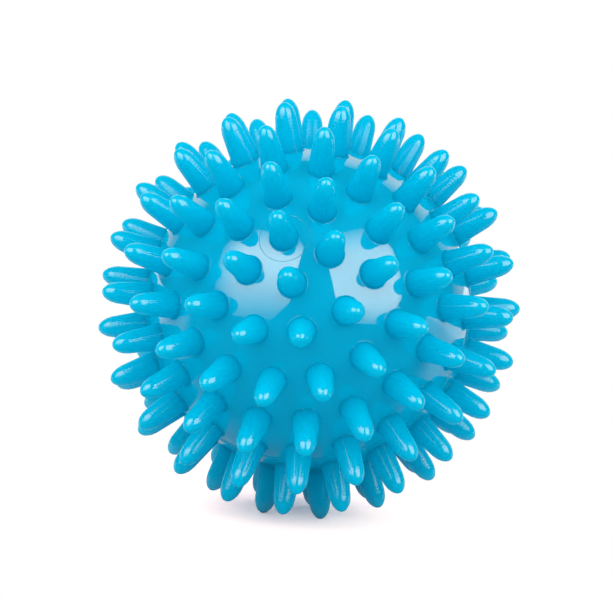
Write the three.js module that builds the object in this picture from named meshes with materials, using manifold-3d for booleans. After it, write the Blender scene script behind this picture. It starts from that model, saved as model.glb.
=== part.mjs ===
// Spiky massage ball.
// A hollow ball of soft, glossy plastic moulded in two halves that are welded at the middle. Each half
// carries rings of solid, blunt spikes moulded in one with its wall. A round air plug at the pole of one half
// closes the inflating valve and carries that pole's spike.
// Millimetres, +Z up. The origin is the centre of the ball, which lies on three of its spikes.

import * as THREE from 'three';
import { ConvexGeometry } from 'three/addons/geometries/ConvexGeometry.js';
import { mergeVertices } from 'three/addons/utils/BufferGeometryUtils.js';
import Module from 'manifold-3d';

// Ball body
const BODY_RADIUS = 34.5;
const WALL = 3;

// One spike: a slim cone with a rounded end and a flared root
const SPIKE_HEIGHT = 10.5;
const SPIKE_ROOT_RADIUS = 3.1;
const SPIKE_TIP_RADIUS = 1.85;
const SPIKE_DOME_LENGTH = 3.2;
const SPIKE_ROOT_FLARE = 0.5;

// Spikes on each ring of a half, from its pole to the weld
const RING_COUNTS = [1, 6, 12, 17, 20, 22];

// How far the plain half is turned on the plug half when they are welded, in degrees
const HALF_TURN = -39;

// Weld: a tongue on the plug half sits in a rebate of the plain half
const TONGUE_LENGTH = 3;
const WELD_GAP = 0.4;

// Air plug, and the valve socket that it closes
const PLUG_HEAD_RADIUS = 5;
const PLUG_HEAD_EDGE = 1.5;
const PLUG_STEM_RADIUS = 2.4;
const PLUG_STEM_LENGTH = 5.5;
const PLUG_STEM_CHAMFER = 0.6;
const SEAL_RIB_HEIGHT = 0.3;
const SEAL_RIB_WIDTH = 1;
const SEAL_RIB_COUNT = 2;
const PLUG_CLEARANCE = 0.35;
const SOCKET_WALL = 3;
const VALVE_MEMBRANE = 1.5;

// The three spikes of the plain half that the ball lies on, as [ring, place on the ring]
const RESTING_SPIKES = [[4, 15], [4, 16], [3, 13]];

// The way the plug faces, in degrees round +Z from +X
const PLUG_HEADING = -101.5;

// Facets
const BODY_SIDES = 36;
const INNER_ARC_STEPS = 6;
const SPIKE_SIDES = 8;
const SPIKE_DOME_STEPS = 2;
const PLUG_SIDES = 24;

// A cut runs this far past the face that it opens
const CUT_PAST = 1;

// Derived sizes
const INNER_RADIUS = BODY_RADIUS - WALL;
const MID_WALL_RADIUS = BODY_RADIUS - WALL / 2;
const RING_STEP = Math.PI / 2 / (RING_COUNTS.length - 0.5);
const RIM_HEIGHT = WELD_GAP / 2;
const HEAD_EDGE_HEIGHT = across(BODY_RADIUS, PLUG_HEAD_RADIUS);
const HEAD_SEAT_HEIGHT = HEAD_EDGE_HEIGHT - PLUG_HEAD_EDGE;
const STEM_END_HEIGHT = HEAD_SEAT_HEIGHT - PLUG_STEM_LENGTH;
const RECESS_RADIUS = PLUG_HEAD_RADIUS + PLUG_CLEARANCE;
const RECESS_FLOOR_HEIGHT = HEAD_SEAT_HEIGHT - PLUG_CLEARANCE;
const SOCKET_RADIUS = PLUG_STEM_RADIUS + SEAL_RIB_HEIGHT + PLUG_CLEARANCE;
const SOCKET_FLOOR_HEIGHT = STEM_END_HEIGHT - PLUG_CLEARANCE;
const BOSS_RADIUS = SOCKET_RADIUS + SOCKET_WALL;
const BOSS_END_HEIGHT = SOCKET_FLOOR_HEIGHT - VALVE_MEMBRANE;

const UP = new THREE.Vector3(0, 0, 1);
const DOWN = new THREE.Vector3(0, 0, -1);
const ACROSS = new THREE.Vector3(1, 0, 0);

const wasm = await Module();
wasm.setup();

// On a ball's outline, the radius at a height or the height at a radius
function across(ballRadius, other) {
  return Math.sqrt(ballRadius ** 2 - other ** 2);
}

// A closed geometry as a solid: shared corners are merged and the empty triangles on a lathe's axis dropped
function toSolid(geometry) {
  const bare = geometry.clone();
  bare.deleteAttribute('normal');
  bare.deleteAttribute('uv');
  const merged = mergeVertices(bare);
  const corners = merged.index.array;
  const triangles = [];
  for (let i = 0; i < corners.length; i += 3) {
    const [a, b, c] = corners.slice(i, i + 3);
    if (a !== b && b !== c && c !== a) {
      triangles.push(a, b, c);
    }
  }
  const vertProperties = Float32Array.from(merged.attributes.position.array);
  const triVerts = Uint32Array.from(triangles);
  return new wasm.Manifold(new wasm.Mesh({ numProp: 3, vertProperties, triVerts }));
}

function toGeometry(solid) {
  const { vertProperties, triVerts } = solid.getMesh();
  const geometry = new THREE.BufferGeometry();
  geometry.setAttribute('position', new THREE.BufferAttribute(vertProperties, 3));
  geometry.setIndex(new THREE.BufferAttribute(triVerts, 1));
  geometry.computeVertexNormals();
  return geometry;
}

// A profile of [radius, height] points turned round +Z
function revolve(profile, sides) {
  const points = profile.map(([radius, height]) => new THREE.Vector2(radius, height));
  return new THREE.LatheGeometry(points, sides).rotateX(Math.PI / 2);
}

// The inside of the ball's wall, as profile points from one radius in to another
function innerArc(fromRadius, toRadius) {
  const from = Math.acos(fromRadius / INNER_RADIUS);
  const to = Math.acos(toRadius / INNER_RADIUS);
  const points = [];
  for (let i = 0; i <= INNER_ARC_STEPS; i += 1) {
    const angle = from + (to - from) * i / INNER_ARC_STEPS;
    points.push([INNER_RADIUS * Math.cos(angle), INNER_RADIUS * Math.sin(angle)]);
  }
  points[INNER_ARC_STEPS][0] = toRadius;
  return points;
}

// The spike's profile, as heights over the skin: a point sunk in the wall, the flared root where it meets
// the skin, the cone and the rounded end
function makeSpikeProfile() {
  const taper = (SPIKE_ROOT_RADIUS - SPIKE_TIP_RADIUS) / SPIKE_HEIGHT;
  const coneRadius = (height) => SPIKE_ROOT_RADIUS - taper * height;
  const flaredRadius = SPIKE_ROOT_RADIUS + SPIKE_ROOT_FLARE;
  const profile = [
    [0, -WALL / 2],
    [flaredRadius, across(BODY_RADIUS, flaredRadius) - BODY_RADIUS],
    [coneRadius(SPIKE_ROOT_FLARE), SPIKE_ROOT_FLARE],
  ];
  for (let i = 0; i < SPIKE_DOME_STEPS; i += 1) {
    const angle = Math.PI / 2 * i / SPIKE_DOME_STEPS;
    const height = SPIKE_HEIGHT - SPIKE_DOME_LENGTH * (1 - Math.sin(angle));
    profile.push([coneRadius(height) * Math.cos(angle), height]);
  }
  profile.push([0, SPIKE_HEIGHT]);
  return profile;
}

const SPIKE_PROFILE = makeSpikeProfile();
const FLARED_ROOT = 1;
const SPIKE = revolve(SPIKE_PROFILE, SPIKE_SIDES).translate(0, 0, BODY_RADIUS);

// Turns the spike from the pole to its place on a half whose pole is on +Z
function spikeTurn(ring, place) {
  const azimuth = 2 * Math.PI * place / RING_COUNTS[ring];
  const lean = new THREE.Matrix4().makeRotationY(ring * RING_STEP);
  return new THREE.Matrix4().makeRotationZ(azimuth).multiply(lean);
}

// All the spikes of a half, the pole's first
function placeSpikes() {
  const spikes = [];
  RING_COUNTS.forEach((count, ring) => {
    for (let place = 0; place < count; place += 1) {
      spikes.push(SPIKE.clone().applyMatrix4(spikeTurn(ring, place)));
    }
  });
  return spikes;
}

// A half ball whose skin is drawn through the root circles of its spikes and the circle of its rim
function makeSkin(spikes) {
  const rimRadius = across(BODY_RADIUS, RIM_HEIGHT);
  const points = [];
  for (const spike of spikes) {
    for (let side = 0; side < SPIKE_SIDES; side += 1) {
      const corner = side * SPIKE_PROFILE.length + FLARED_ROOT;
      points.push(new THREE.Vector3().fromBufferAttribute(spike.attributes.position, corner));
    }
  }
  for (let side = 0; side < BODY_SIDES; side += 1) {
    const azimuth = 2 * Math.PI * side / BODY_SIDES;
    points.push(new THREE.Vector3(rimRadius * Math.cos(azimuth), rimRadius * Math.sin(azimuth), RIM_HEIGHT));
  }
  return toSolid(new ConvexGeometry(points));
}

function addSpikes(wall, spikes) {
  return spikes.reduce((half, spike) => half.add(toSolid(spike)), wall);
}

// The plug half, with its pole on +Z: tongue at the rim, valve boss inside the pole and the plug's socket
function makePlugHalf() {
  const tongueRadius = MID_WALL_RADIUS - WELD_GAP / 2;
  const tongue = [
    [0, -TONGUE_LENGTH],
    [tongueRadius, -TONGUE_LENGTH],
    [tongueRadius, TONGUE_LENGTH],
    [0, TONGUE_LENGTH],
  ];
  const hollow = [
    [0, -TONGUE_LENGTH - CUT_PAST],
    [INNER_RADIUS, -TONGUE_LENGTH - CUT_PAST],
    ...innerArc(INNER_RADIUS, BOSS_RADIUS),
    [BOSS_RADIUS, BOSS_END_HEIGHT],
    [0, BOSS_END_HEIGHT],
  ];
  const socket = [
    [0, SOCKET_FLOOR_HEIGHT],
    [SOCKET_RADIUS, SOCKET_FLOOR_HEIGHT],
    [SOCKET_RADIUS, RECESS_FLOOR_HEIGHT],
    [RECESS_RADIUS, RECESS_FLOOR_HEIGHT],
    [RECESS_RADIUS, BODY_RADIUS + CUT_PAST],
    [0, BODY_RADIUS + CUT_PAST],
  ];
  const spikes = placeSpikes();
  const wall = makeSkin(spikes)
    .add(toSolid(revolve(tongue, BODY_SIDES)))
    .subtract(toSolid(revolve(hollow, BODY_SIDES)))
    .subtract(toSolid(revolve(socket, PLUG_SIDES)));
  return toGeometry(addSpikes(wall, spikes.slice(1)));
}

// The plain half, with its pole on +Z: its rim is cut back inside to take the tongue
function makePlainHalf() {
  const rebateRadius = MID_WALL_RADIUS + WELD_GAP / 2;
  const rebateHeight = TONGUE_LENGTH + WELD_GAP;
  const hollow = [
    [0, -CUT_PAST],
    [rebateRadius, -CUT_PAST],
    [rebateRadius, rebateHeight],
    ...innerArc(across(INNER_RADIUS, rebateHeight), 0),
  ];
  const spikes = placeSpikes();
  const wall = makeSkin(spikes).subtract(toSolid(revolve(hollow, BODY_SIDES)));
  return toGeometry(addSpikes(wall, spikes));
}

// The air plug: a stem with seal ribs under a head that lies flush with the skin and carries the pole's spike
function makeAirPlug() {
  const ribPitch = PLUG_STEM_LENGTH / (SEAL_RIB_COUNT + 1);
  const profile = [
    [0, STEM_END_HEIGHT],
    [PLUG_STEM_RADIUS - PLUG_STEM_CHAMFER, STEM_END_HEIGHT],
    [PLUG_STEM_RADIUS, STEM_END_HEIGHT + PLUG_STEM_CHAMFER],
  ];
  for (let i = 1; i <= SEAL_RIB_COUNT; i += 1) {
    const ribHeight = STEM_END_HEIGHT + i * ribPitch;
    profile.push(
      [PLUG_STEM_RADIUS, ribHeight - SEAL_RIB_WIDTH / 2],
      [PLUG_STEM_RADIUS + SEAL_RIB_HEIGHT, ribHeight],
      [PLUG_STEM_RADIUS, ribHeight + SEAL_RIB_WIDTH / 2],
    );
  }
  const [flaredRadius] = SPIKE_PROFILE[FLARED_ROOT];
  profile.push(
    [PLUG_STEM_RADIUS, HEAD_SEAT_HEIGHT],
    [PLUG_HEAD_RADIUS, HEAD_SEAT_HEIGHT],
    [PLUG_HEAD_RADIUS, HEAD_EDGE_HEIGHT],
    [flaredRadius, across(BODY_RADIUS, flaredRadius)],
    [0, across(BODY_RADIUS, flaredRadius)],
  );
  const plug = toSolid(revolve(profile, PLUG_SIDES));
  return toGeometry(plug.add(toSolid(SPIKE)));
}

const softPlastic = { color: 0x01acd7, roughness: 0.12, metalness: 0 };

function makePiece(name, geometry) {
  const piece = new THREE.Mesh(geometry, new THREE.MeshStandardMaterial(softPlastic));
  piece.name = name;
  return piece;
}

const plugHalf = makePiece('plug_half_shell', makePlugHalf());
const airPlug = makePiece('air_plug', makeAirPlug());
const plainHalf = makePiece('plain_half_shell', makePlainHalf());

// The plain half is turned over, pole down, and round on the plug half
const weldTurn = new THREE.Quaternion().setFromAxisAngle(UP, THREE.MathUtils.degToRad(HALF_TURN));
plainHalf.quaternion.setFromAxisAngle(ACROSS, Math.PI).premultiply(weldTurn);

const ball = new THREE.Group();
ball.add(plugHalf, airPlug, plainHalf);

// The flat through the tips of the resting spikes is turned to face down
const restingTips = RESTING_SPIKES.map(([ring, place]) => {
  const tip = new THREE.Vector3(0, 0, BODY_RADIUS + SPIKE_HEIGHT);
  return tip.applyMatrix4(spikeTurn(ring, place)).applyQuaternion(plainHalf.quaternion);
});
const restingFlat = new THREE.Plane().setFromCoplanarPoints(...restingTips);
const outward = restingFlat.normal.multiplyScalar(-Math.sign(restingFlat.constant));
ball.quaternion.setFromUnitVectors(outward, DOWN);

// The ball is then turned on its resting spikes until the plug faces its heading
const plugWay = UP.clone().applyQuaternion(ball.quaternion);
const headingTurn = THREE.MathUtils.degToRad(PLUG_HEADING) - Math.atan2(plugWay.y, plugWay.x);
ball.quaternion.premultiply(new THREE.Quaternion().setFromAxisAngle(UP, headingTurn));

export default ball;
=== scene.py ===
import math

import bmesh
import bpy
import numpy as np
from mathutils import Euler, Matrix, Vector, noise


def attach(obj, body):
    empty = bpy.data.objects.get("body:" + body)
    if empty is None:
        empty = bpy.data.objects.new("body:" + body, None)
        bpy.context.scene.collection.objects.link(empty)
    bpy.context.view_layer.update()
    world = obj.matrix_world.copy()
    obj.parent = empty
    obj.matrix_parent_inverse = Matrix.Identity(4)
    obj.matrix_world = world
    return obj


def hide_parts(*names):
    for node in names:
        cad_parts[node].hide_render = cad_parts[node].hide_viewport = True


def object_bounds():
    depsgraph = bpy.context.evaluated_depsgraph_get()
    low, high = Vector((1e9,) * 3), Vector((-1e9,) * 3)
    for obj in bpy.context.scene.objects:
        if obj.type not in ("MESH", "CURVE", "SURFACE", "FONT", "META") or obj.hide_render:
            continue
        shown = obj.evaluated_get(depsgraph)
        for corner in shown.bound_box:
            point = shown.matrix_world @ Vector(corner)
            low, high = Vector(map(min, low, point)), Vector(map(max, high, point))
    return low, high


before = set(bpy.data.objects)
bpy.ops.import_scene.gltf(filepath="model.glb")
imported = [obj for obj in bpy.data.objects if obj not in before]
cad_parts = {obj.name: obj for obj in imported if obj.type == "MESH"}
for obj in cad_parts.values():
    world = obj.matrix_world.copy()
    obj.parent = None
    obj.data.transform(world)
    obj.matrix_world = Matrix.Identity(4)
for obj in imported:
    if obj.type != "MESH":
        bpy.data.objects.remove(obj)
cad_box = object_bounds()

MM = 0.001

# The ball, as in the part's source
BODY_RADIUS = 34.5 * MM
INNER_RADIUS = 31.5 * MM
MID_WALL_RADIUS = 33 * MM
SPIKE_HEIGHT = 10.5 * MM
SPIKE_DOME_LENGTH = 3.2 * MM
RING_COUNTS = [1, 6, 12, 17, 20, 22]
RING_STEP = 90 / (len(RING_COUNTS) - 0.5)
HALF_TURN = -39
RESTING_SPIKES = [(4, 15), (4, 16), (3, 13)]
PLUG_HEADING = -101.5
TONGUE_LENGTH = 3 * MM
WELD_GAP = 0.4 * MM

# The air plug and its socket, as in the part's source
PLUG_STEM_RADIUS = 2.4 * MM
PLUG_STEM_CHAMFER = 0.6 * MM
SEAL_RIB_COUNT = 2
SEAL_RIB_HEIGHT = 0.3 * MM
SEAL_RIB_WIDTH = 1 * MM
HEAD_SEAT_HEIGHT = 32.636 * MM
STEM_END_HEIGHT = 27.136 * MM
RECESS_FLOOR_HEIGHT = 32.286 * MM
SOCKET_RADIUS = 3.05 * MM
SOCKET_FLOOR_HEIGHT = 26.786 * MM
BOSS_RADIUS = 6.05 * MM
BOSS_END_HEIGHT = 25.286 * MM

# Finer than in the part's source: the fit of the plug's head, and the spikes' flanks, roots and domes
PLUG_HEAD_RADIUS = 5.13 * MM
RECESS_RADIUS = 5.16 * MM
SMALL_EDGE = 0.05 * MM
FLANK_ROOT_RADIUS = 2.85 * MM
FLANK_TIP_RADIUS = 2.0 * MM
ROOT_FILLET = 0.4 * MM
DOME_POWER = 2.0

# The weld's bead, with its outline as shares of its height and of its half width
BEAD_HALF_WIDTH = 0.42 * MM
BEAD_HEIGHT = 0.16 * MM
BEAD_GROOVE = 0.02 * MM
BEAD_SHARES = [(0.25, 0.78), (0.8, 0.55), (1, 0.3), (0.75, 0.1)]

# How uneven the bead is: its lumps and its finer grain, as counts to the metre
BEAD_LUMPS = 420
BEAD_GRAIN = 1300
BEAD_GRAIN_SHARE = 0.6
BEAD_UNEVENNESS = 0.55

# Facets, and the shares of a length or the angles at which an outline has its points
SPIKE_SIDES = 20
RIM_SIDES = 220
CROWN_SIDES = 60
PLUG_SIDES = 60
INNER_ARC_STEPS = 14
CORNER_STEPS = 3
FLANK_SHARES = (0.33, 0.67)
DOME_SHARES = (0, 0.37, 0.64, 0.83, 0.93, 0.982)
SEAL_RIB_ANGLES = (-90, -50, -15, 15, 50, 90)

# Corners this close are merged, and edges bent more than this angle stay sharp
MERGE_DISTANCE = 0.002 * MM
SHARP_ANGLE = 50

# How near to the ball a point counts as on its skin, and how far outwards its face has to look
ROOT_EDGE_WITHIN = 0.001 * MM
SKIN_WITHIN = 0.003 * MM
OUTWARD_COSINE = 0.9


class Socket:
    """A node's outlet: arithmetic on outlets adds Math nodes to their tree."""

    def __init__(self, graph, outlet):
        self.graph = graph
        self.outlet = outlet

    def __add__(self, other):
        return self.graph.maths("ADD", self, other)

    def __radd__(self, other):
        return self.graph.maths("ADD", other, self)

    def __sub__(self, other):
        return self.graph.maths("SUBTRACT", self, other)

    def __rsub__(self, other):
        return self.graph.maths("SUBTRACT", other, self)

    def __mul__(self, other):
        return self.graph.maths("MULTIPLY", self, other)

    def __rmul__(self, other):
        return self.graph.maths("MULTIPLY", other, self)

    def __truediv__(self, other):
        return self.graph.maths("DIVIDE", self, other)

    def __rtruediv__(self, other):
        return self.graph.maths("DIVIDE", other, self)

    def __lt__(self, other):
        return self.graph.maths("LESS_THAN", self, other)

    def __gt__(self, other):
        return self.graph.maths("GREATER_THAN", self, other)

    def sine(self):
        return self.graph.maths("SINE", self)

    def ramp(self, start, end):
        """0 before start, 1 after end, and a smooth rise between them."""
        return self.graph.add(
            "ShaderNodeMapRange",
            {"interpolation_type": "SMOOTHSTEP"},
            {"Value": self, "From Min": start, "From Max": end},
        )

    def axes(self):
        """A vector's three numbers."""
        node = self.graph.add("ShaderNodeSeparateXYZ", {}, {"Vector": self}).outlet.node
        return [Socket(self.graph, outlet) for outlet in node.outputs]


class Graph:
    """A node tree that is filled from expressions."""

    def __init__(self, tree):
        self.tree = tree

    def add(self, kind, settings=None, sockets=None, outlet=0):
        """A node with its settings, then the values or links of its sockets. Gives one outlet."""
        node = self.tree.nodes.new(kind)
        for name, value in (settings or {}).items():
            setattr(node, name, value)
        for name, value in (sockets or {}).items():
            for each in value if isinstance(value, list) else [value]:
                if isinstance(each, Socket):
                    self.tree.links.new(each.outlet, node.inputs[name])
                else:
                    node.inputs[name].default_value = each
        return Socket(self, node.outputs[outlet]) if node.outputs else node

    def maths(self, operation, *values):
        return self.add("ShaderNodeMath", {"operation": operation}, dict(enumerate(values)))

    def vector(self, x, y, z):
        return self.add("ShaderNodeCombineXYZ", {}, {"X": x, "Y": y, "Z": z})

    def length(self, x, y):
        """How far a point lies from the middle of a plane."""
        return self.maths("SQRT", x * x + y * y)

    def blend(self, share, first, second):
        """One colour going over into another."""
        settings = {"data_type": "RGBA", "clamp_factor": True}
        return self.add("ShaderNodeMix", settings, {0: share, 6: first, 7: second}, outlet=2)

    def cover(self, share, first, second):
        """One shader going over into another."""
        return self.add("ShaderNodeMixShader", {}, {0: share, 1: first, 2: second})

    def rays(self):
        """Two outlets: 1 for rays straight from the camera, and 1 for rays mirrored in gloss."""
        outlets = self.add("ShaderNodeLightPath").outlet.node.outputs
        return [Socket(self, outlets[name]) for name in ("Is Camera Ray", "Is Glossy Ray")]


def across(ball_radius, other):
    """On a ball's outline, the radius at a height or the height at a radius."""
    return math.sqrt(ball_radius**2 - other**2)


# How the ball lies


def turn(axis, degrees):
    return Matrix.Rotation(math.radians(degrees), 4, axis)


def spike_turn(ring, place):
    """From the pole to a spike's place on a half whose pole is on +Z."""
    return turn("Z", 360 * place / RING_COUNTS[ring]) @ turn("Y", ring * RING_STEP)


def lay_ball():
    """The turns that lay the two halves on the floor, on the three resting spikes."""
    onto_plug_half = turn("Z", HALF_TURN) @ turn("X", 180)
    tips = [onto_plug_half @ spike_turn(*spike) @ Vector((0, 0, 1)) for spike in RESTING_SPIKES]
    flat = (tips[1] - tips[0]).cross(tips[2] - tips[0]).normalized()
    flat *= math.copysign(1, flat.dot(tips[0]))
    laid = flat.rotation_difference(Vector((0, 0, -1))).to_matrix().to_4x4()
    plug_way = laid @ Vector((0, 0, 1))
    heading = math.degrees(math.atan2(plug_way.y, plug_way.x))
    plug_half = turn("Z", PLUG_HEADING - heading) @ laid
    return plug_half, plug_half @ onto_plug_half


# Outlines, as (radius, height) pairs


def rounded(start, corner, end):
    """A rounded corner, without its first point."""
    points = []
    for i in range(1, CORNER_STEPS + 1):
        t = i / CORNER_STEPS
        weights = ((1 - t) ** 2, 2 * t * (1 - t), t * t)
        pairs = list(zip(weights, (start, corner, end)))
        points.append(tuple(sum(weight * point[k] for weight, point in pairs) for k in (0, 1)))
    return points


def spike_outline():
    """From the edge of the root fillet on the skin to the tip, as heights over the skin."""
    taper = (FLANK_ROOT_RADIUS - FLANK_TIP_RADIUS) / SPIKE_HEIGHT

    def cone(height):
        return FLANK_ROOT_RADIUS - taper * height

    edge_radius = FLANK_ROOT_RADIUS + ROOT_FILLET
    edge = (edge_radius, across(BODY_RADIUS, edge_radius) - BODY_RADIUS)
    corner = (FLANK_ROOT_RADIUS, across(BODY_RADIUS, FLANK_ROOT_RADIUS) - BODY_RADIUS)
    points = [edge] + rounded(edge, corner, (cone(ROOT_FILLET), ROOT_FILLET))
    dome_start = SPIKE_HEIGHT - SPIKE_DOME_LENGTH
    for share in FLANK_SHARES:
        height = ROOT_FILLET + share * (dome_start - ROOT_FILLET)
        points.append((cone(height), height))
    for share in DOME_SHARES:
        height = dome_start + share * SPIKE_DOME_LENGTH
        points.append((cone(height) * math.sqrt(1 - share**DOME_POWER), height))
    return points + [(0, SPIKE_HEIGHT)]


def inner_arc(start_radius, end_radius):
    """Along the inside of the wall from one radius to another."""
    start, end = (math.acos(min(1, radius / INNER_RADIUS)) for radius in (start_radius, end_radius))
    angles = [start + (end - start) * i / INNER_ARC_STEPS for i in range(INNER_ARC_STEPS + 1)]
    arc = [(INNER_RADIUS * math.cos(angle), INNER_RADIUS * math.sin(angle)) for angle in angles]
    return arc[:-1] + [(end_radius, arc[-1][1])]


def bead_outline():
    """Half of the weld's bead, from the skin over its crest to the hairline where the halves meet."""
    skin = (across(BODY_RADIUS, BEAD_HALF_WIDTH), BEAD_HALF_WIDTH)
    crest = [(BODY_RADIUS + high * BEAD_HEIGHT, wide * BEAD_HALF_WIDTH) for high, wide in BEAD_SHARES]
    return [skin, *crest, (BODY_RADIUS - BEAD_HEIGHT, BEAD_GROOVE)]


def plug_half_inside():
    """From the bead over the weld's tongue and the wall to the end of the valve's boss."""
    tongue_radius = MID_WALL_RADIUS - WELD_GAP / 2
    return [
        *bead_outline(),
        (tongue_radius, BEAD_GROOVE),
        (tongue_radius, -TONGUE_LENGTH),
        (INNER_RADIUS, -TONGUE_LENGTH),
        *inner_arc(INNER_RADIUS, BOSS_RADIUS),
        (BOSS_RADIUS, BOSS_END_HEIGHT),
        (0, BOSS_END_HEIGHT),
    ]


def plain_half_inside():
    """From the bead over the rebate that takes the tongue, and along the wall."""
    rebate_radius = MID_WALL_RADIUS + WELD_GAP / 2
    rebate_height = TONGUE_LENGTH + WELD_GAP
    return [
        *bead_outline(),
        (rebate_radius, BEAD_GROOVE),
        (rebate_radius, rebate_height),
        *inner_arc(across(INNER_RADIUS, rebate_height), 0),
    ]


def socket_outline():
    """From the edge on the skin down into the plug's recess and socket."""
    edge = (RECESS_RADIUS + SMALL_EDGE, across(BODY_RADIUS, RECESS_RADIUS + SMALL_EDGE))
    wall = (RECESS_RADIUS, edge[1] - SMALL_EDGE)
    return [
        edge,
        *rounded(edge, (wall[0], edge[1]), wall),
        (RECESS_RADIUS, RECESS_FLOOR_HEIGHT),
        (SOCKET_RADIUS, RECESS_FLOOR_HEIGHT),
        (SOCKET_RADIUS, SOCKET_FLOOR_HEIGHT),
        (0, SOCKET_FLOOR_HEIGHT),
    ]


def plug_outline():
    """The stem with its seal ribs, the head that lies flush with the skin, and the pole's spike."""
    points = [
        (0, STEM_END_HEIGHT),
        (PLUG_STEM_RADIUS - PLUG_STEM_CHAMFER, STEM_END_HEIGHT),
        (PLUG_STEM_RADIUS, STEM_END_HEIGHT + PLUG_STEM_CHAMFER),
    ]
    pitch = (HEAD_SEAT_HEIGHT - STEM_END_HEIGHT) / (SEAL_RIB_COUNT + 1)
    for rib in range(1, SEAL_RIB_COUNT + 1):
        middle = STEM_END_HEIGHT + rib * pitch
        for angle in SEAL_RIB_ANGLES:
            radius = PLUG_STEM_RADIUS + SEAL_RIB_HEIGHT * math.cos(math.radians(angle))
            points.append((radius, middle + SEAL_RIB_WIDTH / 2 * math.sin(math.radians(angle))))
    edge = (PLUG_HEAD_RADIUS - SMALL_EDGE, across(BODY_RADIUS, PLUG_HEAD_RADIUS - SMALL_EDGE))
    side = (PLUG_HEAD_RADIUS, edge[1] - SMALL_EDGE)
    points += [(PLUG_STEM_RADIUS, HEAD_SEAT_HEIGHT), (PLUG_HEAD_RADIUS, HEAD_SEAT_HEIGHT), side]
    points += rounded(side, (side[0], edge[1]), edge)
    points += [(radius, BODY_RADIUS + height) for radius, height in spike_outline()]
    return points


# Meshes


def turned(outline, sides):
    """A mesh of an outline turned round +Z."""
    corners, faces, rows = [], [], []
    for radius, height in outline:
        if radius == 0:
            rows.append([len(corners)] * sides)
            corners.append((0, 0, height))
            continue
        rows.append([len(corners) + side for side in range(sides)])
        for side in range(sides):
            angle = 2 * math.pi * side / sides
            corners.append((radius * math.cos(angle), radius * math.sin(angle), height))
    for low, high in zip(rows, rows[1:]):
        for side in range(sides):
            ahead = (side + 1) % sides
            face = dict.fromkeys((low[side], low[ahead], high[ahead], high[side]))
            faces.append(tuple(face))
    mesh = bpy.data.meshes.new("turned")
    mesh.from_pydata(corners, [], faces)
    return mesh


def mark_spike(mesh, skin_height):
    """Keeps each corner's height over the skin, for the finish. The skin lies at skin_height."""
    heights = mesh.attributes.new("spike_height", "FLOAT", "POINT")
    for corner, height in zip(mesh.vertices, heights.data):
        from_middle = corner.co + Vector((0, 0, BODY_RADIUS - skin_height))
        height.value = from_middle.length - BODY_RADIUS


def mark_inside(mesh):
    """Keeps how far each corner lies below the skin, as a height under zero."""
    heights = mesh.attributes.new("spike_height", "FLOAT", "POINT")
    for corner, height in zip(mesh.vertices, heights.data):
        height.value = min(0, corner.co.length - BODY_RADIUS)


def roughen_bead(mesh, seed):
    """The bead that the weld presses out is a little uneven."""
    for corner in mesh.vertices:
        reach = math.hypot(corner.co.x, corner.co.y)
        over = reach - BODY_RADIUS
        if over > 0 and abs(corner.co.z) < BEAD_HALF_WIDTH:
            uneven = noise.noise(corner.co * BEAD_LUMPS + Vector((seed, 0, 0)))
            uneven += BEAD_GRAIN_SHARE * noise.noise(corner.co * BEAD_GRAIN + Vector((0, seed, 0)))
            share = 1 + (BEAD_UNEVENNESS * uneven * over) / reach
            corner.co.x *= share
            corner.co.y *= share


# The spiky skin of a half, as a rule


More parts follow.
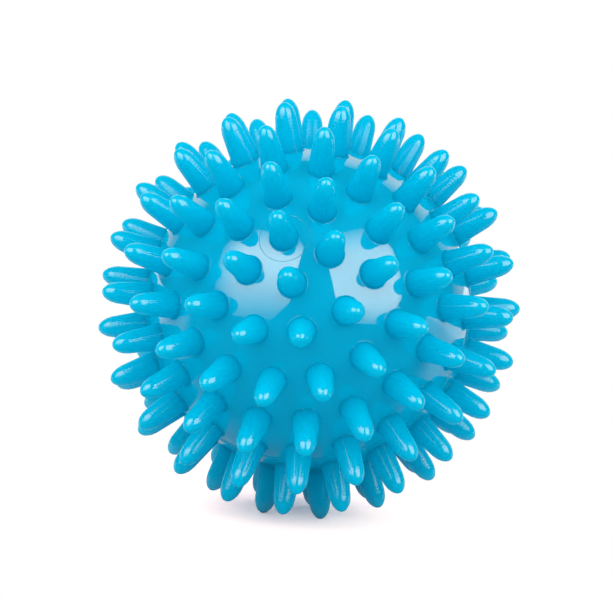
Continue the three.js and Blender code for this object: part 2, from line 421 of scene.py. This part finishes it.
def spiky_skin_rule():
    """Spikes on the given points of a ball, and a skin between their roots, the rim and the crown."""
    tree = bpy.data.node_groups.new("spiky_skin", "GeometryNodeTree")
    inlets = {
        "Spike places": "NodeSocketGeometry",
        "Spike": "NodeSocketObject",
        "Body radius": "NodeSocketFloat",
        "Rim height": "NodeSocketFloat",
        "Rim sides": "NodeSocketInt",
        "Crown radius": "NodeSocketFloat",
        "Crown sides": "NodeSocketInt",
        "Finish": "NodeSocketMaterial",
    }
    for name, kind in inlets.items():
        tree.interface.new_socket(name, in_out="INPUT", socket_type=kind)
    tree.interface.new_socket("Skin", in_out="OUTPUT", socket_type="NodeSocketGeometry")
    graph = Graph(tree)
    entry = graph.add("NodeGroupInput").outlet.node
    given = {outlet.name: Socket(graph, outlet) for outlet in entry.outputs if outlet.name}
    radius = given["Body radius"]

    def position():
        return graph.add("GeometryNodeInputPosition")

    def moved(geometry, place):
        return graph.add("GeometryNodeSetPosition", {}, {"Geometry": geometry, "Position": place})

    way = graph.add("FunctionNodeAlignRotationToVector", {"axis": "Z"}, {"Vector": position()})
    spike = graph.add("GeometryNodeObjectInfo", {}, {"Object": given["Spike"]}, outlet="Geometry")
    stood = graph.add(
        "GeometryNodeInstanceOnPoints",
        {},
        {"Points": given["Spike places"], "Instance": spike, "Rotation": way},
    )
    spikes = graph.add("GeometryNodeRealizeInstances", {}, {"Geometry": stood})

    reach = graph.add("ShaderNodeVectorMath", {"operation": "LENGTH"}, {0: position()}, outlet="Value")
    on_skin = reach < radius + ROOT_EDGE_WITHIN
    roots = graph.add(
        "GeometryNodeSeparateGeometry",
        {"domain": "POINT"},
        {"Geometry": spikes, "Selection": on_skin},
    )

    def circle(sides, circle_radius, height):
        ring = graph.add("GeometryNodeMeshCircle", {}, {"Vertices": sides, "Radius": circle_radius})
        lift = graph.vector(0.0, 0.0, height)
        return graph.add("GeometryNodeTransform", {}, {"Geometry": ring, "Translation": lift})

    def other_leg(leg):
        return graph.maths("SQRT", radius * radius - leg * leg)

    rim = circle(given["Rim sides"], other_leg(given["Rim height"]), given["Rim height"])
    crown = circle(given["Crown sides"], given["Crown radius"], other_leg(given["Crown radius"]))
    has_crown = given["Crown radius"] > 0.0
    crown = graph.add(
        "GeometryNodeSwitch",
        {"input_type": "GEOMETRY"},
        {"Switch": has_crown, "True": crown},
    )
    edges = graph.add("GeometryNodeJoinGeometry", {}, {"Geometry": [roots, rim, crown]})

    # The edges are laid flat as seen from the far pole, filled, and bent back onto the ball
    x, y, z = position().axes()
    flat = moved(edges, graph.vector(x / (radius + z), y / (radius + z), 0.0))
    outlines = graph.add("GeometryNodeMeshToCurve", {}, {"Mesh": flat})
    filled = graph.add("GeometryNodeFillCurve", {}, {"Curve": outlines})
    x, y, _ = position().axes()
    bend = 2.0 / (1.0 + x * x + y * y)
    skin = moved(filled, graph.vector(radius * x * bend, radius * y * bend, radius * (bend - 1.0)))

    whole = graph.add("GeometryNodeJoinGeometry", {}, {"Geometry": [spikes, skin]})
    merging = {"Geometry": whole, "Distance": MERGE_DISTANCE}
    whole = graph.add("GeometryNodeMergeByDistance", {}, merging)
    whole = graph.add("GeometryNodeRealizeInstances", {}, {"Geometry": whole})
    whole = graph.add("GeometryNodeSetMaterial", {}, {"Geometry": whole, "Material": given["Finish"]})
    graph.add("NodeGroupOutput", {}, {"Skin": whole})
    return tree


def grow_skin(rule, places, spike, finish, crown_radius):
    """The rule's mesh for one half, with its pole on +Z."""
    seeds = bpy.data.meshes.new("spike_places")
    seeds.from_pydata(places, [], [])
    holder = bpy.data.objects.new("spike_places", seeds)
    bpy.context.scene.collection.objects.link(holder)
    modifier = holder.modifiers.new("spiky_skin", "NODES")
    modifier.node_group = rule
    values = {
        "Spike": spike,
        "Body radius": BODY_RADIUS,
        "Rim height": BEAD_HALF_WIDTH,
        "Rim sides": RIM_SIDES,
        "Crown radius": crown_radius,
        "Crown sides": CROWN_SIDES,
        "Finish": finish,
    }
    for item in rule.interface.items_tree:
        if item.name in values:
            modifier[item.identifier] = values[item.name]
    shown = holder.evaluated_get(bpy.context.evaluated_depsgraph_get())
    mesh = bpy.data.meshes.new_from_object(shown)
    bpy.data.objects.remove(holder)
    return mesh


def joined(meshes):
    """The meshes as one closed skin."""
    form = bmesh.new()
    for mesh in meshes:
        form.from_mesh(mesh)
    bmesh.ops.remove_doubles(form, verts=form.verts, dist=MERGE_DISTANCE)
    bmesh.ops.recalc_face_normals(form, faces=form.faces)
    sharp = math.radians(SHARP_ANGLE)
    for edge in form.edges:
        edge.smooth = len(edge.link_faces) == 2 and edge.calc_face_angle() < sharp
    for face in form.faces:
        face.smooth = True
    whole = bpy.data.meshes.new("joined")
    form.to_mesh(whole)
    form.free()
    return whole


def round_skin(mesh):
    """Between the spikes the skin shades as the true ball."""
    normals = np.empty(len(mesh.loops) * 3, np.float32)
    mesh.corner_normals.foreach_get("vector", normals)
    normals = normals.reshape(-1, 3)
    places = np.empty(len(mesh.vertices) * 3, np.float32)
    mesh.vertices.foreach_get("co", places)
    corner_of = np.empty(len(mesh.loops), np.int32)
    mesh.loops.foreach_get("vertex_index", corner_of)
    places = places.reshape(-1, 3)[corner_of]
    reach = np.linalg.norm(places, axis=1)
    outward = places / reach[:, None]
    near_skin = abs(reach - BODY_RADIUS) < SKIN_WITHIN
    faces_out = (normals * outward).sum(axis=1) > OUTWARD_COSINE
    on_ball = near_skin & faces_out
    normals[on_ball] = outward[on_ball]
    mesh.normals_split_custom_set(normals)


def settle(name, meshes, place, finish, body, node):
    """A finished piece in its place on the ball, riding on its body instead of a solid."""
    mesh = joined(meshes)
    round_skin(mesh)
    mesh.transform(place)
    mesh.name = name
    # Clearing the slots first puts every face on the one that follows
    mesh.materials.clear()
    mesh.materials.append(finish)
    piece = bpy.data.objects.new(name, mesh)
    bpy.context.scene.collection.objects.link(piece)
    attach(piece, body)
    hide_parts(node)


# Finish

# Each cyan drifts between two colours. The paler cyan up the spikes is painted light: the glow through
# their thin tips
DEEP_CYAN = [(0.0, 0.415, 0.645, 1), (0.0, 0.44, 0.673, 1)]
PAINTED_GLOW_CYAN = [(0.0, 0.478, 0.712, 1), (0.0, 0.502, 0.74, 1)]
# Painted shade: the darker cyan in a ring at each spike's root
PAINTED_ROOT_SHADE_CYAN = (0.0, 0.345, 0.545, 1)

# Fine rings round the spikes, and the waves of the whole surface
RING_PITCH = 0.68 * MM
RING_DEPTH = 0.006 * MM
RING_WANDER = 2.6
WAVE_DEPTH = 0.02 * MM

# Heights over the skin between which the finish changes
# Where the painted glow rises up the spikes
PAINTED_GLOW_RISE = (-0.5 * MM, 4.5 * MM)
# Where the painted shade at the spikes' roots comes in and fades out
ROOT_SHADE_START = (0.0, 0.1 * MM)
ROOT_SHADE_END = (0.1 * MM, 1.4 * MM)
FLANK_START = (0.0, 0.03 * MM)
FLANK_END = (7.5 * MM, 8.6 * MM)
GLOSSIER = (1.5 * MM, 7.0 * MM)
TIP_START = (7.5 * MM, 9.0 * MM)
INSIDE_START = (-0.05 * MM, -0.4 * MM)

# Satin instead of gloss, as shares. Up the flank it comes and goes with the rings, as dashes
ROOT_SATIN = 0.93
RING_SATIN = 0.38
DASH_SATIN = 0.4
DASH_EDGE = (-0.9, -0.1)
TIP_SATIN = 0.3
INSIDE_SATIN = 0.9


def blank_material(name):
    material = bpy.data.materials.new(name)
    material.use_nodes = True
    material.node_tree.nodes.clear()
    return material, Graph(material.node_tree)


def glossy_soft_plastic():
    """Cyan plastic with a mirror gloss. Spikes finely ringed and dull at the root, with painted light
    paler up them and painted shade at the root.
    """
    material, graph = blank_material("glossy_soft_plastic")
    place = graph.add("ShaderNodeTexCoord", outlet="Object")
    height = graph.add("ShaderNodeAttribute", {"attribute_name": "spike_height"}, outlet="Fac")

    def cloud(scale, detail):
        sockets = {"Vector": place, "Scale": scale, "Detail": detail}
        return graph.add("ShaderNodeTexNoise", {}, sockets, outlet="Fac")

    drift = cloud(scale=55.0, detail=2.0)
    deep = graph.blend(drift, *DEEP_CYAN)
    # The spikes grow paler upwards: painted light, the glow through their thin tips
    painted_glow = graph.blend(drift, *PAINTED_GLOW_CYAN)
    root_shade = height.ramp(*ROOT_SHADE_START) * (1.0 - height.ramp(*ROOT_SHADE_END))
    colour = graph.blend(height.ramp(*PAINTED_GLOW_RISE), deep, painted_glow)
    # Painted shade: the ring at each root turns to the darker cyan
    colour = graph.blend(root_shade, colour, PAINTED_ROOT_SHADE_CYAN)

    wander = cloud(scale=240.0, detail=1.0) * RING_WANDER
    rings = (height * (2 * math.pi / RING_PITCH) + wander).sine()
    flank = height.ramp(*FLANK_START) * (1.0 - height.ramp(*FLANK_END))
    relief = flank * rings * RING_DEPTH + cloud(scale=150.0, detail=2.0) * WAVE_DEPTH
    normal = graph.add("ShaderNodeBump", {}, {"Strength": 1.0, "Distance": 1.0, "Height": relief})

    def plastic(roughness, gloss):
        return graph.add(
            "ShaderNodeBsdfPrincipled",
            {},
            {
                "Base Color": colour,
                "Roughness": roughness,
                "IOR": 1.6,
                "Specular IOR Level": gloss,
                "Subsurface Weight": 0.12,
                "Subsurface Radius": (0.2, 0.7, 1.0),
                "Subsurface Scale": 1.6 * MM,
                "Normal": normal,
            },
        )

    glossy = plastic(roughness=0.02 + 0.02 * cloud(scale=90.0, detail=3.0), gloss=1.0)
    satin = plastic(roughness=0.6, gloss=0.0)
    rooted = 1.0 - height.ramp(*GLOSSIER)
    dashes = RING_SATIN + DASH_SATIN * rings.ramp(*DASH_EDGE)
    dull = flank * (ROOT_SATIN * rooted + (1.0 - rooted) * dashes)
    dull = dull + TIP_SATIN * height.ramp(*TIP_START) + INSIDE_SATIN * height.ramp(*INSIDE_START)
    graph.add("ShaderNodeOutputMaterial", {}, {"Surface": graph.cover(dull, glossy, satin)})
    return material


# The pieces of the ball


def build_ball():
    plug_half_turn, plain_half_turn = lay_ball()
    finish = glossy_soft_plastic()
    spike_mesh = turned(spike_outline(), SPIKE_SIDES)
    mark_spike(spike_mesh, skin_height=0)
    spike = bpy.data.objects.new("spike", spike_mesh)
    bpy.context.scene.collection.objects.link(spike)
    places = []
    for ring, count in enumerate(RING_COUNTS):
        for place in range(count):
            places.append(spike_turn(ring, place) @ Vector((0, 0, BODY_RADIUS)))
    rule = spiky_skin_rule()

    # The pole's spike of the plug half is on the plug
    recess_edge = RECESS_RADIUS + SMALL_EDGE
    plug_half_skin = grow_skin(rule, places[1:], spike, finish, crown_radius=recess_edge)
    plain_half_skin = grow_skin(rule, places, spike, finish, crown_radius=0.0)
    bpy.data.objects.remove(spike)

    plug_inside = turned(plug_half_inside(), RIM_SIDES)
    plain_inside = turned(plain_half_inside(), RIM_SIDES)
    roughen_bead(plug_inside, seed=3)
    roughen_bead(plain_inside, seed=8)
    socket = turned(socket_outline(), CROWN_SIDES)
    for inner_form in (plug_inside, plain_inside, socket):
        mark_inside(inner_form)
    plug = turned(plug_outline(), PLUG_SIDES)
    mark_spike(plug, skin_height=BODY_RADIUS)

    plug_half = [plug_half_skin, plug_inside, socket]
    settle("plug_half_skin", plug_half, plug_half_turn, finish, "ball", "plug_half_shell")
    plain_half = [plain_half_skin, plain_inside]
    settle("plain_half_skin", plain_half, plain_half_turn, finish, "ball", "plain_half_shell")
    settle("air_plug_skin", [plug], plug_half_turn, finish, "plug", "air_plug")


# Stage, light and camera

# The camera's angle and place, with its aim beside the ball's middle in pixels of the picture
PIXEL = 0.21328 * MM
AIM_ASIDE = -2.89 * PIXEL
AIM_UP = 7.67 * PIXEL
CAMERA_ELEVATION = 7.28
CAMERA_ROLL = 3.6
CAMERA_DISTANCE = 569.6 * MM
CAMERA_LENS = 157.08
SENSOR_WIDTH = 36

# Distance and colour of the lamps that only gloss shows, and of those that only light the plastic
LAMP_KINDS = {"gloss": (0.9, (1, 0.83, 0.64)), "shade": (0.7, (1, 1, 1))}

# Power of a lamp of brightness 1, for each square metre
LAMP_POWER = 4

# Gloss shows its lamps up to this bounce. Their edges dim from just outside, and slants are soft
LAST_BOUNCE = 2.5
EDGE_START = -0.12
SLANT_BLUR = 0.02

# Brightness of the air round the stage in gloss and in other light. The camera sees it white
WHITE = (1, 1, 1, 1)
AIR_IN_GLOSS = 0.0125
AIR_LIGHT = 0.47

# The floor's paper, and how the camera sees it in the ball's shadow, which fades out into white
FLOOR_REACH = 4.0
PAPER = (0.78, 0.77, 0.8, 1)
SHADOW_PAPER = (2.36, 1.61, 1.44, 1)
SHADOW_MIDDLE = (-5 * MM, 12 * MM)
SHADOW_SQUEEZE = 1.3
SHADOW_FADE = (5 * MM, 50 * MM)

# The floor's brightness in gloss: in front, from under the ball on, beside it, and far behind it
FRONT_GLOW = 0.016
UNDER_GLOW = 0.28
BESIDE_GLOW = 0.18
BEHIND_GLOW = 0.6
UNDER_START = (-25 * MM, 15 * MM)
BESIDE_START = (15 * MM, 40 * MM)
BEHIND_START = (60 * MM, 150 * MM)


def camera_turn():
    looking = Euler((math.radians(90 - CAMERA_ELEVATION), 0, 0)).to_matrix().to_4x4()
    return looking @ turn("Z", CAMERA_ROLL)


def place_camera():
    data = bpy.data.cameras.new("camera")
    data.sensor_width = SENSOR_WIDTH
    data.lens = CAMERA_LENS
    camera = bpy.data.objects.new("camera", data)
    aim = Vector((AIM_ASIDE, AIM_UP, CAMERA_DISTANCE))
    camera.matrix_world = Matrix.Translation(camera_turn() @ aim) @ camera_turn()
    bpy.context.scene.collection.objects.link(camera)
    bpy.context.scene.camera = camera


def shape_glow(data, soft, slants):
    """Dims a lamp towards its edges and slants its corners."""
    data.use_nodes = True
    data.node_tree.nodes.clear()
    graph = Graph(data.node_tree)
    along, upwards, _ = graph.add("ShaderNodeNewGeometry", outlet="Parametric").axes()
    from_sides = (along, 1.0 - along)
    from_ends = (upwards, 1.0 - upwards)
    level = graph.add("ShaderNodeLightPath", outlet="Ray Depth") < LAST_BOUNCE
    for inwards, share in zip(from_sides + from_ends, soft):
        if share:
            level = level * inwards.ramp(EDGE_START, share)
    corners = [(side, end) for end in from_ends for side in from_sides]
    for (side, end), slant in zip(corners, slants):
        if slant:
            level = level * (side + end).ramp(slant - SLANT_BLUR, slant + SLANT_BLUR)
    glow = graph.add("ShaderNodeEmission", {}, {"Strength": level})
    graph.add("ShaderNodeOutputLight", {}, {"Surface": glow})


def softbox(name, kind, aside, up, wide, high, brightness, soft=(), slants=()):
    """A lamp that faces the ball: aside and up from the camera's direction, wide and high, in degrees.

    soft has the shares over which it dims to its left, right, lower and upper edge, and slants has the
    shares that are cut off slantwise at its lower left, lower right, upper left and upper right corner.
    """
    data = bpy.data.lights.new(name, "AREA")
    distance, data.color = LAMP_KINDS[kind]
    data.shape = "RECTANGLE"
    data.size = 2 * distance * math.tan(math.radians(wide / 2))
    data.size_y = 2 * distance * math.tan(math.radians(high / 2))
    data.energy = LAMP_POWER * data.size * data.size_y * brightness
    if kind == "gloss":
        shape_glow(data, soft, slants)
    lamp = bpy.data.objects.new(name, data)
    facing = camera_turn() @ turn("Y", aside) @ turn("X", -up)
    lamp.matrix_world = facing @ Matrix.Translation((0, 0, distance))
    lamp.visible_camera = False
    lamp.visible_diffuse = kind == "shade"
    lamp.visible_transmission = kind == "shade"
    lamp.visible_glossy = kind == "gloss"
    bpy.context.scene.collection.objects.link(lamp)


def light_studio():
    softbox(
        "left_window",
        "gloss",
        aside=-40.5,
        up=21.5,
        wide=57,
        high=60,
        brightness=2.84,
        soft=(0.4, 0, 0.7, 0.3),
        slants=(0.15, 0.24, 0.2, 0.06),
    )
    softbox(
        "right_window",
        "gloss",
        aside=43,
        up=21,
        wide=50,
        high=62,
        brightness=2.55,
        soft=(0, 0.12, 0.3, 0.35),
        slants=(0.1, 0.28, 0, 0.25),
    )
    softbox(
        "white_sheet",
        "gloss",
        aside=176,
        up=0,
        wide=104,
        high=104,
        brightness=1.23,
        soft=(0.3, 0.35, 1.2, 0.25),
    )
    softbox("left_fill", "shade", aside=-40, up=36, wide=60, high=60, brightness=1.27)
    softbox("right_fill", "shade", aside=40, up=36, wide=60, high=60, brightness=1.27)
    softbox("back_left_fill", "shade", aside=-140, up=26, wide=60, high=60, brightness=0.9)
    softbox("back_right_fill", "shade", aside=140, up=26, wide=60, high=60, brightness=0.9)

    world = bpy.data.worlds.new("studio")
    bpy.context.scene.world = world
    world.use_nodes = True
    world.node_tree.nodes.clear()
    graph = Graph(world.node_tree)
    from_camera, from_gloss = graph.rays()
    unseen = from_gloss * AIR_IN_GLOSS + (1.0 - from_gloss) * AIR_LIGHT
    level = from_camera + (1.0 - from_camera) * unseen
    air = graph.add("ShaderNodeBackground", {}, {"Color": WHITE, "Strength": level})
    graph.add("ShaderNodeOutputWorld", {}, {"Surface": air})


def pale_floor():
    """White paper to the camera, with the ball's shadow on it, and darker in the ball's gloss."""
    material, graph = blank_material("pale_floor")
    from_camera, from_gloss = graph.rays()
    x, y, _ = graph.add("ShaderNodeTexCoord", outlet="Object").axes()

    def paper(colour):
        return graph.add("ShaderNodeBsdfDiffuse", {}, {"Color": colour})

    def glow(strength):
        return graph.add("ShaderNodeEmission", {}, {"Color": WHITE, "Strength": strength})

    shadow_x, shadow_y = SHADOW_MIDDLE
    lit = graph.length(SHADOW_SQUEEZE * (x - shadow_x), y - shadow_y).ramp(*SHADOW_FADE)
    # In gloss the floor is a painted glow, which stays dimmer close round the ball as painted shadow
    beside = graph.length(x, y).ramp(*BESIDE_START)
    under = (UNDER_GLOW + BESIDE_GLOW * beside) * y.ramp(*UNDER_START)
    in_gloss = FRONT_GLOW + under + BEHIND_GLOW * y.ramp(*BEHIND_START)
    seen = graph.cover(from_camera, paper(PAPER), graph.cover(lit, paper(SHADOW_PAPER), glow(1.0)))
    seen = graph.cover(from_gloss, seen, glow(in_gloss))
    graph.add("ShaderNodeOutputMaterial", {}, {"Surface": seen})
    return material


def lay_floor():
    low = cad_box[0].z
    ends = (-FLOOR_REACH, FLOOR_REACH)
    mesh = bpy.data.meshes.new("floor")
    mesh.from_pydata([(x, y, low) for y in ends for x in ends], [], [(0, 1, 3, 2)])
    mesh.materials.append(pale_floor())
    floor = bpy.data.objects.new("floor", mesh)
    bpy.context.scene.collection.objects.link(floor)


bpy.context.scene.view_settings.view_transform = "Standard"
build_ball()
lay_floor()
light_studio()
place_camera()
